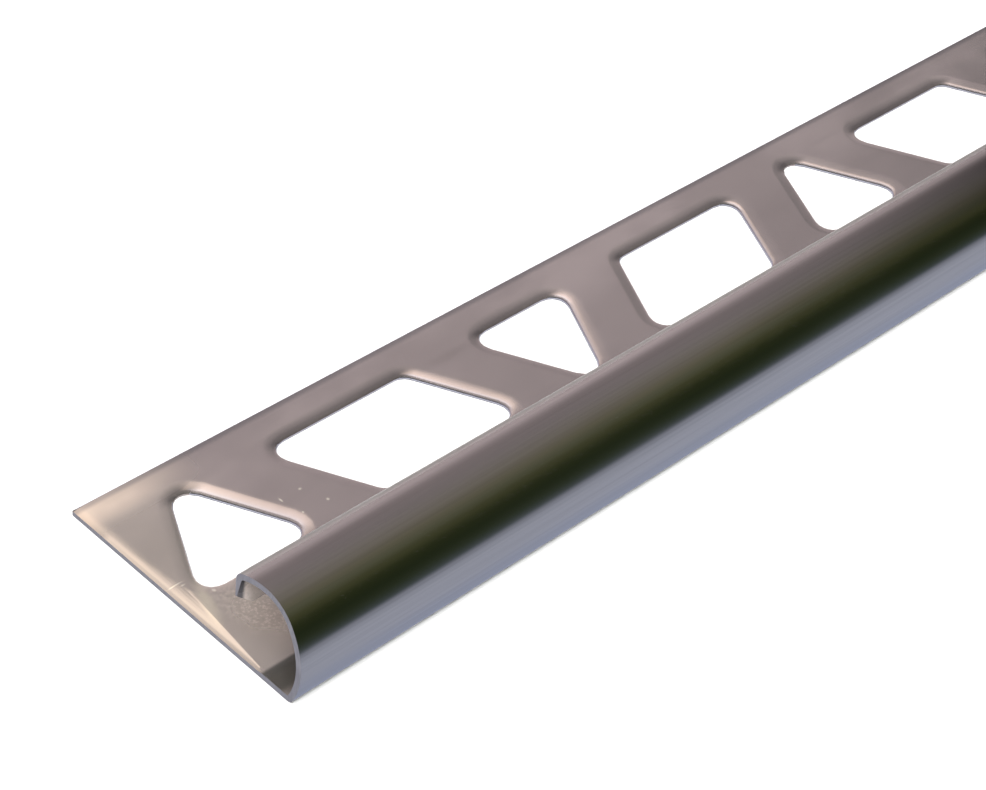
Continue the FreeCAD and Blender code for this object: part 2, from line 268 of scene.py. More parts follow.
def model_leg(strip, s):
    """One repeat of the flat leg, with its four holes, open at both ends."""
    start = LOW.x + s.first_strut
    inner, outer = fold_place(s) + FLAT_MARGIN, HIGH.y - FLAT_MARGIN
    for level in (s.sheet, 0.0):
        add_plate(start + s.hole_pitch / 2, (inner + outer) / 2, level, s.hole_pitch, outer - inner)
        bpy.ops.mesh.delete(type="ONLY_FACE")
    punch_pair(strip, s, start, 1)
    punch_pair(strip, s, start + s.hole_pitch / 2, -1)
    for level in (s.sheet, 0.0):
        pick(strip, "edges", lambda item: len(item.link_faces) < 2 and all_at(item, 2, level))
        bpy.ops.mesh.fill(use_beauty=True)
    for line, margin in ((inner, -FLAT_MARGIN), (outer, FLAT_MARGIN)):
        pick(strip, "edges", lambda item: item.is_boundary and all_at(item, 1, line))
        extrude(y=margin)
    pick(strip, "edges", lambda item: item.is_boundary and all_at(item, 1, HIGH.y))
    bpy.ops.mesh.edge_face_add()
    pick(strip, "edges", lambda item: not item.is_boundary and all_at(item, 1, HIGH.y)
         and item.calc_length() > s.hole_pitch / 2)
    bpy.ops.mesh.bevel(offset=s.slit_round, segments=2, affect="EDGES", clamp_overlap=False)


# The nose

# Steps of the fold, the side, the crown, the top, the bend and the lip.
FOLD_STEPS, SIDE_STEPS, CROWN_STEPS, TOP_STEPS, BEND_STEPS, LIP_STEPS = 8, 18, 16, 6, 10, 4


def nose_bends(s):
    """Centre, turn and steps of each bend that both skins share, from fold to lip."""
    fold = s.fold_inner + s.sheet
    bend = s.bend_inner + s.sheet
    side_y, side_z = LOW.y + s.side_radius, s.belly_height
    fold_run = fold_reach(s)
    crown_rise = HIGH.z - s.crown_radius - side_z
    crown_run = math.sqrt((s.side_radius - s.crown_radius) ** 2 - crown_rise ** 2)
    crown_y = side_y - crown_run
    bend_y = LOW.y + s.lip_place - bend
    bend_run = bend_y - crown_y
    bend_rise = math.sqrt((s.top_radius - bend) ** 2 - bend_run ** 2)
    top_z = HIGH.z - s.top_radius
    at_fold = math.pi + math.atan2(side_z - fold, fold_run)
    at_crown = math.pi - math.atan2(crown_rise, crown_run)
    at_bend = math.atan2(bend_rise, bend_run)
    return [
        ((side_y - fold_run, fold), 1.5 * math.pi - at_fold, FOLD_STEPS),
        ((side_y, side_z), at_fold - at_crown, SIDE_STEPS),
        ((crown_y, HIGH.z - s.crown_radius), at_crown - math.pi / 2, CROWN_STEPS),
        ((crown_y, top_z), math.pi / 2 - at_bend, TOP_STEPS),
        ((bend_y, top_z + bend_rise), at_bend, BEND_STEPS),
    ]


def model_nose(strip, s):
    """Form the nose: both skins of the leg's inner edge are spun round each bend."""
    fold_line = fold_place(s)
    pick(strip, "edges", lambda item: item.is_boundary and all_at(item, 1, fold_line))
    for (centre_y, centre_z), turn, steps in nose_bends(s):
        bpy.ops.mesh.spin(steps=steps, angle=turn, center=(0, centre_y, centre_z), axis=(1, 0, 0))
    lip_start = nose_bends(s)[-1][0][1]
    lip_end = HIGH.z - s.lip_depth
    for _ in range(LIP_STEPS):
        extrude(z=(lip_end - lip_start) / LIP_STEPS)
    bpy.ops.mesh.edge_face_add()
    pick(strip, "edges", lambda item: not item.is_boundary and all_at(item, 2, lip_end)
         and item.calc_length() > s.hole_pitch / 2)
    bpy.ops.mesh.bevel(offset=s.slit_round, segments=2, affect="EDGES", clamp_overlap=False)


# The length

def repeat_strip(strip, s):
    """Repeat the modelled stretch along the whole length and cut it off."""
    bpy.ops.object.mode_set(mode="OBJECT")
    row = strip.modifiers.new("Row", "ARRAY")
    row.use_relative_offset = False
    row.use_constant_offset = True
    row.constant_offset_displace = (s.hole_pitch, 0, 0)
    row.count = math.ceil((HIGH.x - LOW.x) / s.hole_pitch)
    row.use_merge_vertices = True
    row.merge_threshold = TOUCH
    bpy.ops.object.modifier_apply(modifier=row.name)
    bpy.ops.object.mode_set(mode="EDIT")
    start = LOW.x + s.first_strut
    pick(strip, "verts", lambda vert: abs(vert.co.x - start) < TOUCH)
    bpy.ops.transform.translate(value=(-s.first_strut, 0, 0))
    bpy.ops.mesh.select_all(action="SELECT")
    bpy.ops.mesh.bisect(plane_co=(HIGH.x, 0, 0), plane_no=(1, 0, 0), clear_outer=True, threshold=TOUCH)


# Rows of the drag at the near end, and how fast it deepens towards the cut.
DRAG_STEPS = 5
DRAG_POWER = 1.6
# Direction square to the tear of the lip's corner.
TEAR_NORMAL = Vector((0.62, 0, 0.78))


def crush_lip(strip, s, places):
    """Crush the lip's inner side thin towards the cut and tear off its lower corner."""
    top = nose_bends(s)[-1][0][1]
    end = HIGH.z - s.lip_depth
    inner = LOW.y + s.lip_place - s.sheet
    for step, place in enumerate(places, start=1):
        for row in range(1, LIP_STEPS + 1):
            level = top + (end - top) * row / LIP_STEPS
            share = min(1.0, (top - level) / (top - end - s.torn_corner))
            pick(strip, "verts", lambda vert: abs(vert.co.x - place) < TOUCH
                 and abs(vert.co.z - level) < 1.5 * s.slit_round
                 and abs(vert.co.y - inner) < 1.5 * s.slit_round)
            bpy.ops.transform.translate(value=(0, s.lip_crush * share * (step / DRAG_STEPS) ** 2, 0))
    pick(strip, "faces", lambda face: all(vert.co.y > inner - s.slit_round and vert.co.z > 2 * s.sheet
                                          and vert.co.z < top + TOUCH for vert in face.verts))
    tear = Vector((LOW.x, 0, end + s.torn_corner))
    bpy.ops.mesh.bisect(plane_co=tear, plane_no=-TEAR_NORMAL, clear_outer=True, threshold=TOUCH)
    pick(strip, "verts", lambda vert: (vert.co - Vector((LOW.x, vert.co.y, tear.z))).length < TOUCH
         and vert.co.y > inner - s.slit_round)
    bpy.ops.mesh.edge_face_add()
    pick(strip, "edges", lambda item: len(item.link_faces) < 2
         and all(abs((vert.co - tear).dot(TEAR_NORMAL)) < 2 * TOUCH
                 and vert.co.y > inner - s.slit_round for vert in item.verts))
    bpy.ops.mesh.edge_face_add()


def channel_middle(s):
    """A point inside the nose, from which its outer side faces away."""
    return Vector((0, LOW.y + 0.6 * s.lip_place, HIGH.z / 2))


def drag_near_end(strip, s):
    """Drag the struck side of the sheet down at the near end, as a shear does."""
    channel = channel_middle(s)
    leg_start = channel.y

    def on_nose(vert):
        across = Vector((0, vert.co.y, vert.co.z))
        return vert.co.z > 2 * s.sheet and vert.normal.dot(across - channel) > 0

    def on_leg(vert):
        return abs(vert.co.z - s.sheet) < TOUCH and vert.co.y > leg_start

    for place in (leg_start - s.sheet / 2, leg_start + s.sheet / 2):
        pick(strip, "faces", lambda face: min(v.co.x for v in face.verts) < LOW.x + TOUCH
             and all_at(face, 2, s.sheet))
        bpy.ops.mesh.bisect(plane_co=(0, place, 0), plane_no=(0, 1, 0), threshold=TOUCH)
    places = [LOW.x + s.cut_reach * step / DRAG_STEPS for step in range(DRAG_STEPS, 0, -1)]
    for place in places:
        pick(strip, "faces", lambda face: min(v.co.x for v in face.verts) < LOW.x + TOUCH)
        bpy.ops.mesh.bisect(plane_co=(place, 0, 0), plane_no=(1, 0, 0), threshold=TOUCH)
    bpy.ops.mesh.select_all(action="SELECT")
    bpy.ops.mesh.normals_make_consistent(inside=False)
    for step, place in enumerate(places[1:] + [LOW.x], start=1):
        for struck, drag in ((on_nose, s.nose_drag), (on_leg, s.leg_drag)):
            pick(strip, "verts", lambda vert: abs(vert.co.x - place) < TOUCH and struck(vert))
            bpy.ops.transform.shrink_fatten(value=-drag * (step / DRAG_STEPS) ** DRAG_POWER)
            bpy.ops.transform.resize(value=(0, 1, 1), center_override=(place, 0, 0))
    crush_lip(strip, s, places[1:] + [LOW.x])


def close_ends(strip):
    """Cap the cut ends and turn every face outwards."""
    for place in (LOW.x, HIGH.x):
        pick(strip, "edges", lambda item: item.is_boundary and all_at(item, 0, place))
        bpy.ops.mesh.edge_face_add()
    bpy.ops.mesh.select_all(action="SELECT")
    bpy.ops.mesh.normals_make_consistent(inside=False)


# The finish

# Where the tones of the steel change: the start and end of each change along X, across Y or up Z.
NEAR_ALONG = (LOW.x + 14 * MM, LOW.x + 3 * MM)
# Reach of the painted highlight on the near corner.
CORNER_HIGHLIGHT_ALONG = (LOW.x + 12 * MM, LOW.x)
CORNER_HIGHLIGHT_ACROSS = (10.4 * MM, 13.2 * MM)
NOSE_SIDE_DARKENING_ACROSS = (11 * MM, 5 * MM)
EDGE_ACROSS = (HIGH.y - 0.9 * MM, HIGH.y - 0.3 * MM)
# Reach of the painted shade on the far rims.
FAR_RIM_ACROSS = (9.6 * MM, 10.5 * MM)
FAR_RIM_UP = (0.595 * MM, 0.42 * MM)
# Reach of the painted shade in the fold of the nose.
FOLD_ACROSS = (LOW.y + 4.65 * MM, LOW.y + 4.3 * MM)
FOLD_END_ACROSS = (LOW.y + 2.4 * MM, LOW.y + 1.3 * MM)
# Height of the lip's inner side, which is lightened with painted light.
LIP_UP = (4.5 * MM, 5.2 * MM)
# Reach of the painted shadow at the lip's cut end.
LIP_END_SHADOW_ALONG = (LOW.x + 0.65 * MM, LOW.x + 0.3 * MM)
# Reach of the painted shade on the nose's bend.
BEND_ACROSS = (LOW.y + 6.8 * MM, LOW.y + 7.3 * MM)
RUBBED_ACROSS = (LOW.y + 6.3 * MM, LOW.y + 7.4 * MM)
BURNISH_UP = (0.06 * MM, 0.12 * MM)
SLIT_ACROSS = (HIGH.y - 0.14 * MM, HIGH.y - 0.06 * MM)
CUT_END_ALONG = (LOW.x + 0.3 * MM, LOW.x + 0.1 * MM)

# Soft patches on the leg: the middle, with X from the near end, and the reach, both in millimetres,
# then the share of the reach that is at full strength, and the turn in degrees.
STREAK = ((1.8, -1.0, 0.6), (0.8, 4.2, 3.0), 0.1, -17)
STAIN = ((39.0, 9.6, 0.0), (4.5, 0.8, 3.0), 0.2)
SCUFF = ((4.2, -4.2, 0.6), (3.6, 6.6, 3.0), 0.1, 16)
# Small bright marks on the leg: distance from the near end, Y, length and width, in millimetres.
MARKS = [(1.0, 2.04, 2.2, 0.17), (1.5, 1.65, 0.7, 0.2), (16.5, 4.45, 0.5, 0.35), (14.3, 4.4, 0.3, 0.9),
         (17.5, 2.0, 0.4, 0.5), (14.8, 2.1, 0.3, 0.3), (3.1, -0.3, 0.5, 0.6)]
MARK_FULL = 0.3

NEAR_TINT = (0.67, 0.61, 0.54)
STREAK_TINT = (0.88, 0.81, 0.67)
MARK_TINT = (0.95, 0.9, 0.8)
# Painted shade on the far sides of the rims.
FAR_RIM_PAINTED_SHADE = (0.04, 0.04, 0.05)


def add_node(tree, kind, settings=None, **inputs):
    """Add a shader node with its settings and the values of its inputs."""
    node = tree.nodes.new(kind)
    for name, value in (settings or {}).items():
        setattr(node, name, value)
    for name, value in inputs.items():
        socket = node.inputs[name.replace("_", " ")]
        if isinstance(value, bpy.types.NodeSocket):
            tree.links.new(value, socket)
        else:
            socket.default_value = value
    return node


def new_material(name):
    """A new material, with its node tree, its shader and the place on the piece."""
    material = bpy.data.materials.new(name)
    material.use_nodes = True
    tree = material.node_tree
    surface = tree.nodes["Principled BSDF"]
    place = add_node(tree, "ShaderNodeTexCoord").outputs["Object"]
    return material, tree, surface, place


def finish_surface(tree, surface, tone, roughness, bump):
    """Give the shader its colour, roughness and relief."""
    tree.links.new(tone, surface.inputs["Base Color"])
    tree.links.new(roughness, surface.inputs["Roughness"])
    tree.links.new(bump.outputs["Normal"], surface.inputs["Normal"])


def fine_noise(tree, place, scale, detail, roughness):
    """Noise whose scale differs along X, Y and Z, in lumps for each metre."""
    spread = add_node(tree, "ShaderNodeMapping", Vector=place, Scale=scale)
    noise = add_node(tree, "ShaderNodeTexNoise", Vector=spread.outputs["Vector"], Scale=1.0,
                     Detail=detail, Roughness=roughness)
    return noise.outputs["Fac"]


def ranged(tree, value, low, high, to_low, to_high, smooth=True):
    """Map a range of values to another, and hold the ends."""
    settings = {"interpolation_type": "SMOOTHSTEP" if smooth else "LINEAR"}
    node = add_node(tree, "ShaderNodeMapRange", settings, Value=value, From_Min=low, From_Max=high,
                    To_Min=to_low, To_Max=to_high)
    return node.outputs["Result"]


def combined(tree, operation, first, second):
    """Combine two values by a math operation."""
    node = tree.nodes.new("ShaderNodeMath")
    node.operation = operation
    for socket, value in zip(node.inputs, (first, second)):
        if isinstance(value, bpy.types.NodeSocket):
            tree.links.new(value, socket)
        else:
            socket.default_value = value
    return node.outputs["Value"]


def product(tree, *values):
    """Multiply values one after the other."""
    result = values[0]
    for value in values[1:]:
        result = combined(tree, "MULTIPLY", result, value)
    return result


def mixed(tree, factor, first, second):
    """Mix two colours."""
    node = tree.nodes.new("ShaderNodeMix")
    node.data_type = "RGBA"
    for index, value in ((0, factor), (6, first), (7, second)):
        socket = node.inputs[index]
        if isinstance(value, bpy.types.NodeSocket):
            tree.links.new(value, socket)
        else:
            socket.default_value = value if index == 0 else (*value, 1.0)
    return node.outputs[2]


def leg_patch(tree, place, middle, reach, full, turn=0):
    """A soft-edged oval patch on the leg: 1 in the full share of its reach and 0 outside its reach."""
    start, y, z = middle
    centre = (LOW.x + start * MM, y * MM, z * MM)
    inside = add_node(tree, "ShaderNodeMapping", {"vector_type": "TEXTURE"}, Vector=place, Location=centre,
                      Rotation=(0, 0, math.radians(turn)), Scale=[length * MM for length in reach])
    far = add_node(tree, "ShaderNodeVectorMath", {"operation": "LENGTH"})
    tree.links.new(inside.outputs["Vector"], far.inputs[0])
    return ranged(tree, far.outputs["Value"], full, 1.0, 1.0, 0.0)


def scaled(colour, share):
    """A darker or lighter colour."""
    return tuple(share * value for value in colour)


def mill_grain(tree, place, apart, clouds, lines, finish):
    """Clouds, smears and fine lines of the mill finish, darker towards the nose."""
    smears = fine_noise(tree, place, (90, 420, 100), 2.0, 0.5)
    shade = scaled(finish.mill, 0.88)
    tone = mixed(tree, ranged(tree, clouds, 0.38, 0.64, 0.0, 1.0), shade, scaled(finish.mill, 1.06))
    tone = mixed(tree, ranged(tree, smears, 0.52, 0.7, 0.0, 0.3), tone, scaled(finish.mill, 0.8))
    tone = mixed(tree, ranged(tree, lines, 0.45, 0.75, 0.0, 0.25), tone, shade)
    nose_side_darkening = ranged(tree, apart.outputs["Y"], *NOSE_SIDE_DARKENING_ACROSS, 0.0, 0.6)
    return mixed(tree, nose_side_darkening, tone, scaled(finish.mill, 0.72))


def frost_tone(tree, frosted, frost, tone, finish):
    """Light and dark lumps of frosted metal."""
    light = product(tree, frosted, ranged(tree, frost, 0.5, 0.64, 0.0, 0.7))
    tone = mixed(tree, light, tone, scaled(finish.mill, 1.6))
    dark = product(tree, frosted, ranged(tree, frost, 0.48, 0.34, 0.0, 0.55))
    return mixed(tree, dark, tone, scaled(finish.mill, 0.5))


def leg_marks(tree, place, apart, painted_light, tone, finish):
    """Painted highlight on the near corner, small bright marks and a stain on the leg."""
    near = ranged(tree, apart.outputs["X"], *NEAR_ALONG, 0.0, 0.5)
    tone = mixed(tree, near, tone, NEAR_TINT)
    streak = product(tree, leg_patch(tree, place, *STREAK), 0.55)
    tone = mixed(tree, streak, tone, STREAK_TINT)
    # Painted highlight on the near corner.
    tone = mixed(tree, painted_light, tone, finish.corner_highlight)
    for start, y, length, width in MARKS:
        mark = leg_patch(tree, place, (start, y, 0.6), (length / 2, width / 2, 1.0), MARK_FULL)
        tone = mixed(tree, product(tree, mark, 0.7), tone, MARK_TINT)
    stain = product(tree, leg_patch(tree, place, *STAIN), 0.3)
    return mixed(tree, stain, tone, scaled(finish.mill, 0.6))


def leg_edges(tree, apart, tone, finish):
    """Darker slit edge of the leg, painted shade on its far rims, and painted shade in the fold of the
    nose where the leg mirrors the nose's dark inside.
    """
    edge = ranged(tree, apart.outputs["Y"], *EDGE_ACROSS, 0.0, 0.5)
    tone = mixed(tree, edge, tone, scaled(finish.cut, 0.6))
    # Painted shade on the rims' far sides, by the free edge.
    rim = product(tree, ranged(tree, apart.outputs["Z"], *FAR_RIM_UP, 0.0, 0.56, False),
                  ranged(tree, apart.outputs["Y"], *FAR_RIM_ACROSS, 0.0, 1.0))
    tone = mixed(tree, rim, tone, FAR_RIM_PAINTED_SHADE)
    # Painted shade in the fold of the nose, where the leg mirrors the nose's dark inside.
    fold = product(tree, ranged(tree, apart.outputs["Y"], *FOLD_ACROSS, 0.0, 0.85),
                   ranged(tree, apart.outputs["Y"], *FOLD_END_ACROSS, 1.0, 0.35))
    return mixed(tree, fold, tone, finish.fold_shade)


def mill_steel(finish):
    """Dull mill finish of the leg and the inside: clouds, marks, a frosted scuff, a painted highlight on
    the near corner, painted light on the lip's inner side and painted shadow at its cut end.
    """
    material, tree, surface, place = new_material("mill_steel")
    apart = add_node(tree, "ShaderNodeSeparateXYZ", Vector=place)
    lines = fine_noise(tree, place, (60, 5200, 5200), 4.0, 0.6)
    clouds = fine_noise(tree, place, (75, 120, 120), 3.0, 0.5)
    frost = fine_noise(tree, place, (4200, 4200, 4200), 2.0, 0.6)
    lip = ranged(tree, apart.outputs["Z"], *LIP_UP, 0.0, 1.0)
    frosted = combined(tree, "MAXIMUM", leg_patch(tree, place, *SCUFF), product(tree, lip, 0.6))
    # Where the painted highlight on the near corner lies.
    painted_light = product(tree, ranged(tree, apart.outputs["X"], *CORNER_HIGHLIGHT_ALONG, 0.0, 1.0, False),
                   ranged(tree, apart.outputs["Y"], *CORNER_HIGHLIGHT_ACROSS, 0.0, 1.0),
                   ranged(tree, clouds, 0.35, 0.55, 0.8, 1.1))

    tone = mill_grain(tree, place, apart, clouds, lines, finish)
    # Painted light: the lip's shaded inner side is lightened.
    tone = mixed(tree, product(tree, lip, 0.85), tone, scaled(finish.mill, 1.45))
    tone = frost_tone(tree, frosted, frost, tone, finish)
    tone = leg_marks(tree, place, apart, painted_light, tone, finish)
    tone = leg_edges(tree, apart, tone, finish)
    # Painted shadow at the lip's cut end, inside the lip.
    crushed = product(tree, lip, ranged(tree, apart.outputs["X"], *LIP_END_SHADOW_ALONG, 0.0, 0.95))
    tone = mixed(tree, crushed, tone, scaled(finish.cut, 0.3))

    # The lip and the near corner are less metallic, so the lamp lights them more.
    metallic = product(tree, combined(tree, "MAXIMUM", lip, painted_light), -0.45)
    metallic = combined(tree, "ADD", metallic, finish.leg_metallic)
    roughness = ranged(tree, clouds, 0.3, 0.7, finish.leg_roughness - 0.03, finish.leg_roughness + 0.05)
    roughness = combined(tree, "ADD", roughness, product(tree, frosted, 0.12))
    relief = combined(tree, "ADD", product(tree, frosted, frost, 3.0), product(tree, lines, 0.4))
    bump = add_node(tree, "ShaderNodeBump", Strength=0.4, Distance=0.004 * MM, Height=relief)
    tree.links.new(metallic, surface.inputs["Metallic"])
    finish_surface(tree, surface, tone, roughness, bump)
    return material


def nose_steel(finish):
    """Outside of the nose, smoothed by the rolls, with fine lines along it and a rubbed bend darkened with
    painted shade.
    """
    material, tree, surface, place = new_material("nose_steel")
    apart = add_node(tree, "ShaderNodeSeparateXYZ", Vector=place)
    lines = fine_noise(tree, place, (30, 3600, 3600), 4.0, 0.6)
    clouds = fine_noise(tree, place, (60, 200, 200), 2.0, 0.5)
    lined = ranged(tree, lines, 0.35, 0.7, 0.0, 1.0)
    tone = mixed(tree, lined, finish.rolled, scaled(finish.rolled, 0.93))
    # Painted shade: the bend is darkened to dim the reflection it catches.
    bend = ranged(tree, apart.outputs["Y"], *BEND_ACROSS, 0.0, 1.0)
    tone = mixed(tree, bend, tone, scaled(finish.rolled, 0.62))
    roughness = ranged(tree, apart.outputs["Y"], *RUBBED_ACROSS,
                       finish.nose_roughness, finish.bend_roughness)
    roughness = combined(tree, "ADD", roughness, ranged(tree, clouds, 0.3, 0.7, -0.02, 0.03))
    roughness = combined(tree, "ADD", roughness, ranged(tree, lines, 0.3, 0.7, -0.02, 0.02))
    bump = add_node(tree, "ShaderNodeBump", Strength=0.2, Distance=0.003 * MM, Height=lines)
    surface.inputs["Metallic"].default_value = 1.0
    finish_surface(tree, surface, tone, roughness, bump)
    return material


def cut_steel(finish):
    """Sheared steel: a bright burnished band high on the hole walls, torn and dark elsewhere."""
    material, tree, surface, place = new_material("cut_steel")
    apart = add_node(tree, "ShaderNodeSeparateXYZ", Vector=place)
    tears = fine_noise(tree, place, (5200, 5200, 700), 4.0, 0.6)
    torn = ranged(tree, tears, 0.35, 0.65, 0.0, 1.0)
    tone = mixed(tree, torn, scaled(finish.cut, 0.6), finish.cut)
    burnish = ranged(tree, apart.outputs["Z"], *BURNISH_UP, 0.0, 1.0)
    tone = mixed(tree, burnish, tone, scaled(finish.cut, 1.9))
    slit = ranged(tree, apart.outputs["Y"], *SLIT_ACROSS, 0.0, 1.0)
    tone = mixed(tree, slit, tone, scaled(finish.cut, 2.0))
    cut_end = ranged(tree, apart.outputs["X"], *CUT_END_ALONG, 0.0, 1.0)
    tone = mixed(tree, cut_end, tone, scaled(finish.cut, 0.7))
    roughness = ranged(tree, tears, 0.3, 0.7, finish.cut_roughness + 0.1, finish.cut_roughness - 0.1)
    bump = add_node(tree, "ShaderNodeBump", Strength=0.5, Distance=0.01 * MM, Height=tears)
    surface.inputs["Metallic"].default_value = 1.0
    finish_surface(tree, surface, tone, roughness, bump)
    return material


# Share of the rim's depth below which its steep end is burnished as the wall is.
BURNISHED_SHARE = 0.75


def give_finishes(strip, s, finish):
    """Give the mill side, the rolled outside of the nose and the sheared faces their finishes."""
    strip.data.materials.clear()
    for finished in (mill_steel, nose_steel, cut_steel):
        strip.data.materials.append(finished(finish))
    band_near = HIGH.y - s.edge_strip - s.hole_depth - TOUCH
    band_far = HIGH.y - s.edge_strip + TOUCH
    wall_top = s.sheet - BURNISHED_SHARE * s.rim_depth
    lip_end = HIGH.z - s.lip_depth

    def sheared(face):
        ys = [vert.co.y for vert in face.verts]
        zs = [vert.co.z for vert in face.verts]
        wall = TOUCH < max(zs) < wall_top and min(ys) > band_near and max(ys) < band_far
        slit = min(ys) > HIGH.y - 1.1 * s.slit_round
        lip = max(zs) < lip_end + 1.1 * s.slit_round and min(zs) > lip_end - TOUCH
        end = any(all_at(face, 0, place) for place in (LOW.x, HIGH.x))
        return wall or slit or lip or end

    channel = channel_middle(s)

    def outside(face):
        middle = face.calc_center_median()
        on_nose = middle.y < LOW.y + s.lip_place + TOUCH and middle.z > TOUCH
        return on_nose and face.normal.dot(Vector((0, middle.y, middle.z)) - channel) > 0

    for index, wanted in ((1, outside), (2, sheared)):
        pick(strip, "faces", wanted)
        strip.active_material_index = index
        bpy.ops.object.material_slot_assign()


# Faces that meet at less than this angle are shaded as one.
SMOOTH_ANGLE = math.radians(30)


class TRIM_OT_strip(bpy.types.Operator):
    """Model the punched and roll-formed strip"""
    bl_idname = "trim.strip"
    bl_label = "Formed Strip"

    def execute(self, context):
        s = context.scene.trim_strip
        bpy.ops.object.select_all(action="DESELECT")
        bpy.ops.mesh.primitive_plane_add(size=MM)
        strip = context.object
        strip.name = strip.data.name = PIECE
        bpy.ops.object.mode_set(mode="EDIT")
        bpy.ops.mesh.delete(type="VERT")
        model_leg(strip, s)
        model_nose(strip, s)
        repeat_strip(strip, s)
        drag_near_end(strip, s)
        close_ends(strip)
        give_finishes(strip, s, context.scene.trim_finish)
        bpy.ops.object.mode_set(mode="OBJECT")
        bpy.ops.object.shade_smooth_by_angle(angle=SMOOTH_ANGLE)
        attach(strip, "root")
        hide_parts(NODE)
        return {"FINISHED"}


# The studio

CAMERA_PLACE = Vector((-0.593417, -0.111614, 0.145929))
CAMERA_AHEAD = Vector((0.57955679, 0.50466293, -0.63986659))
CAMERA_RIGHT = Vector((0.70961197, -0.69859379, 0.09174731))
SENSOR_WIDTH = 36.0
NEAREST_SEEN = 0.005


def add_camera(look):
    """Set the camera at the photograph's place and angle."""
    up = CAMERA_RIGHT.cross(CAMERA_AHEAD)
    turn = Matrix((CAMERA_RIGHT, up, -CAMERA_AHEAD)).transposed().to_euler()
    bpy.ops.object.camera_add(location=CAMERA_PLACE, rotation=turn)
    camera = bpy.context.object
    camera.data.lens = look.lens
    camera.data.sensor_width = SENSOR_WIDTH
    camera.data.clip_start = NEAREST_SEEN
    bpy.context.scene.camera = camera


def only_in_reflections(thing):
    """Keep a card out of sight and out of the light, but in the steel's reflections."""
    thing.visible_camera = False
    thing.visible_diffuse = False
    thing.visible_shadow = False
    thing.visible_transmission = False
    thing.visible_volume_scatter = False


def toned(tree, value, low, high, tones):
    """Colours of a ramp, at their places between two values."""
    ramp = tree.nodes.new("ShaderNodeValToRGB")
    stops = ramp.color_ramp.elements
    for _ in tones[2:]:
        stops.new(1.0)
    for stop, (place, colour) in zip(stops, tones):
        stop.position = (place - low) / (high - low)
        stop.color = (*colour, 1)
    tree.links.new(ranged(tree, value, low, high, 0.0, 1.0, False), ramp.inputs["Fac"])
    return ramp.outputs["Color"]


# Length of both cards, and the middle and height of each.
CARD_LENGTH = 1.1
FLOOR_CARD = ((0, -21.2 * MM, 0.05 * MM), 15.6 * MM)
DARK_CARD = ((0, -29 * MM, 4 * MM), 8 * MM)


def add_card(name, middle, height, upright, tones):
    """A glowing card beside the trim that the nose mirrors, with its tones from edge to edge."""
    turn = (math.pi / 2, 0, 0) if upright else (0, 0, 0)
    bpy.ops.mesh.primitive_plane_add(size=1.0, location=middle, rotation=turn)
    card = bpy.context.object
    card.name = name
    card.scale = (CARD_LENGTH, height, 1.0)
    material, tree, surface, place = new_material(name)
    apart = add_node(tree, "ShaderNodeSeparateXYZ", Vector=place)
    surface.inputs["Base Color"].default_value = (0, 0, 0, 1)
    surface.inputs["Roughness"].default_value = 1.0
    surface.inputs["Specular IOR Level"].default_value = 0.0
    surface.inputs["Emission Strength"].default_value = 1.0
    glow = toned(tree, apart.outputs["Y"], -0.5, 0.5, tones)
    tree.links.new(glow, surface.inputs["Emission Color"])
    card.data.materials.append(material)
    only_in_reflections(card)


# Glow of the floor card, a painted reflection of the floor that the nose's side mirrors, from its dark far
# side to the nose's foot, with painted shade at the foot.
FLOOR_TONES = [
    (-0.50, (0.115, 0.135, 0.155)),
    (-0.29, (0.310, 0.335, 0.400)),
    (0.02, (0.450, 0.490, 0.580)),
    (0.33, (0.450, 0.490, 0.590)),
    (0.42, (0.390, 0.435, 0.555)),
    (0.50, (0.340, 0.380, 0.500)),
]
# Glow of the dark card, a painted reflection of the dark side behind that floor, from its foot to its top.
DARK_TONES = [
    (-0.50, (0.068, 0.090, 0.092)),
    (-0.25, (0.044, 0.060, 0.044)),
    (0.10, (0.029, 0.040, 0.018)),
    (0.50, (0.019, 0.028, 0.012)),
]


FLOOR_SIZE = 12.0


def add_floor(look):
    """Add the plain pale floor under the trim."""
    bpy.ops.mesh.primitive_plane_add(size=FLOOR_SIZE, location=(0, 0, LOW.z))
    floor = bpy.context.object
    floor.name = "floor"
    material, _, surface, _ = new_material("pale_floor")
    surface.inputs["Base Color"].default_value = (*look.floor, 1)
    surface.inputs["Roughness"].default_value = 0.9
    surface.inputs["Specular IOR Level"].default_value = 0.1
    floor.data.materials.append(material)


LAMP_PLACE = Vector((-0.38, -0.32, 0.87))
LAMP_ANGLE = math.radians(35)


def add_lamp(look):
    """A broad, soft lamp high behind the camera that lights the floor evenly."""
    turn = LAMP_PLACE.to_track_quat("Z", "Y").to_euler()
    bpy.ops.object.light_add(type="SUN", location=LAMP_PLACE, rotation=turn)
    lamp = bpy.context.object
    lamp.data.energy = look.lamp
    lamp.data.angle = LAMP_ANGLE
    lamp.visible_glossy = False


# Colours of the room, by the degrees from overhead towards the dark side at -Y.
ROOM_TONES = [
    (-95, (0.380, 0.330, 0.330)),
    (-80, (0.580, 0.500, 0.507)),
    (-70, (0.620, 0.535, 0.545)),
    (-61, (0.400, 0.348, 0.354)),
    (-53, (0.276, 0.238, 0.242)),
    (-38, (0.270, 0.242, 0.243)),
    (-20, (0.262, 0.240, 0.230)),
    (0, (0.242, 0.226, 0.196)),
    (12, (0.215, 0.201, 0.165)),
    (28, (0.168, 0.162, 0.110)),
    (44, (0.120, 0.126, 0.078)),
    (60, (0.078, 0.084, 0.038)),
    (80, (0.029, 0.038, 0.014)),
    (92, (0.019, 0.029, 0.012)),
    (118, (0.300, 0.330, 0.400)),
]
WINDOW_EDGE = (1.85, 1.6, 1.3)
WINDOW_MIDDLE = (1.95, 1.95, 1.95)
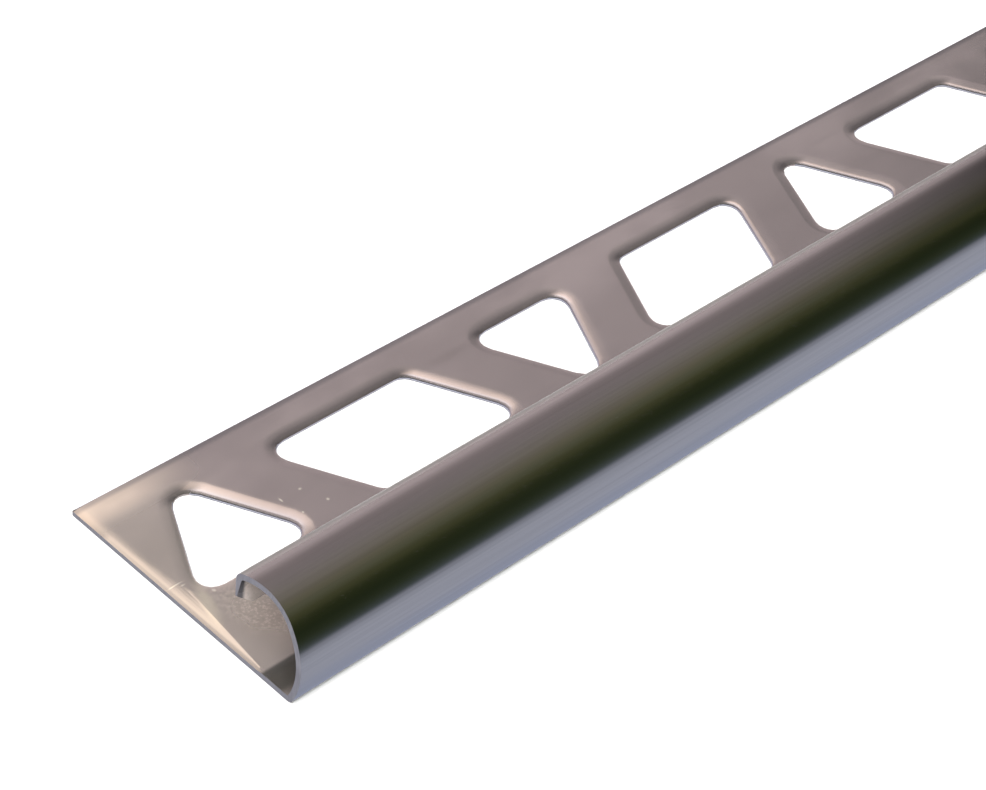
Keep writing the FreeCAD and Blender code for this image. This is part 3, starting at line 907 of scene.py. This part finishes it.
# Soft bounds of the dim part ahead and of the window, as parts of a direction along X, Y or Z.
AHEAD_X, AHEAD_Z = (0.67, 0.77), (0.2, 0.5)
WINDOW_NEAR_X, WINDOW_FAR_X = (-0.22, -0.06), (0.34, 0.27)
WINDOW_NEAR_Y, WINDOW_FAR_Y = (-0.1, 0.15), (0.6, 0.68)
WINDOW_Z = (0.3, 0.5)
PANE_X = (0.2, 0.06)


def add_room():
    """Soft light of the room: dark behind the nose, dimmer ahead, a warm window over the near end."""
    world = bpy.context.scene.world or bpy.data.worlds.new("room")
    bpy.context.scene.world = world
    world.use_nodes = True
    tree = world.node_tree
    tree.nodes.clear()
    way = add_node(tree, "ShaderNodeTexCoord").outputs["Generated"]
    apart = add_node(tree, "ShaderNodeSeparateXYZ", Vector=way)
    x, y, z = (apart.outputs[axis] for axis in "XYZ")
    turn = combined(tree, "ARCTAN2", product(tree, y, -1.0), z)
    turn = combined(tree, "DEGREES", turn, 0.0)
    colour = toned(tree, turn, -180, 180, ROOM_TONES)
    ahead = product(tree, ranged(tree, x, *AHEAD_X, 0.0, 0.9), ranged(tree, z, *AHEAD_Z, 0.3, 1.0))
    colour = mixed(tree, ahead, colour, (0, 0, 0))
    window = product(tree, ranged(tree, x, *WINDOW_FAR_X, 0.0, 1.0),
                     ranged(tree, x, *WINDOW_NEAR_X, 0.0, 1.0),
                     ranged(tree, y, *WINDOW_NEAR_Y, 0.0, 1.0),
                     ranged(tree, y, *WINDOW_FAR_Y, 1.0, 0.45),
                     ranged(tree, z, *WINDOW_Z, 0.0, 1.0))
    pane = mixed(tree, ranged(tree, x, *PANE_X, 0.0, 1.0), WINDOW_EDGE, WINDOW_MIDDLE)
    colour = mixed(tree, window, colour, pane)
    light = add_node(tree, "ShaderNodeBackground", Color=colour)
    out = add_node(tree, "ShaderNodeOutputWorld")
    tree.links.new(light.outputs["Background"], out.inputs["Surface"])


class TRIM_OT_studio(bpy.types.Operator):
    """Set up the floor, the lights, the reflection cards and the camera"""
    bl_idname = "trim.studio"
    bl_label = "Studio"

    def execute(self, context):
        look = context.scene.trim_studio
        bpy.ops.object.select_all(action="DESELECT")
        context.scene.view_settings.view_transform = "Standard"
        add_floor(look)
        add_card("floor_card", *FLOOR_CARD, False, FLOOR_TONES)
        add_card("dark_card", *DARK_CARD, True, DARK_TONES)
        add_lamp(look)
        add_room()
        add_camera(look)
        return {"FINISHED"}


class TRIM_PT_panel(bpy.types.Panel):
    """Operators and sizes of the trim"""
    bl_idname = "TRIM_PT_panel"
    bl_label = "Tile Edge Trim"
    bl_space_type = "VIEW_3D"
    bl_region_type = "UI"
    bl_category = "Trim"

    def draw(self, context):
        for operator in (TRIM_OT_strip, TRIM_OT_studio):
            self.layout.operator(operator.bl_idname)
        scene = context.scene
        for group in (scene.trim_strip, scene.trim_finish, scene.trim_studio):
            box = self.layout.box()
            for name in group.__annotations__:
                box.prop(group, name)


CLASSES = [StripSizes, SteelFinish, StudioLook, TRIM_OT_strip, TRIM_OT_studio, TRIM_PT_panel]


def register():
    for item in CLASSES:
        bpy.utils.register_class(item)
    bpy.types.Scene.trim_strip = PointerProperty(type=StripSizes)
    bpy.types.Scene.trim_finish = PointerProperty(type=SteelFinish)
    bpy.types.Scene.trim_studio = PointerProperty(type=StudioLook)


def unregister():
    del bpy.types.Scene.trim_studio
    del bpy.types.Scene.trim_finish
    del bpy.types.Scene.trim_strip
    for item in reversed(CLASSES):
        bpy.utils.unregister_class(item)


def main():
    register()
    bpy.ops.trim.strip()
    bpy.ops.trim.studio()


if __name__ == "__main__":
    main()
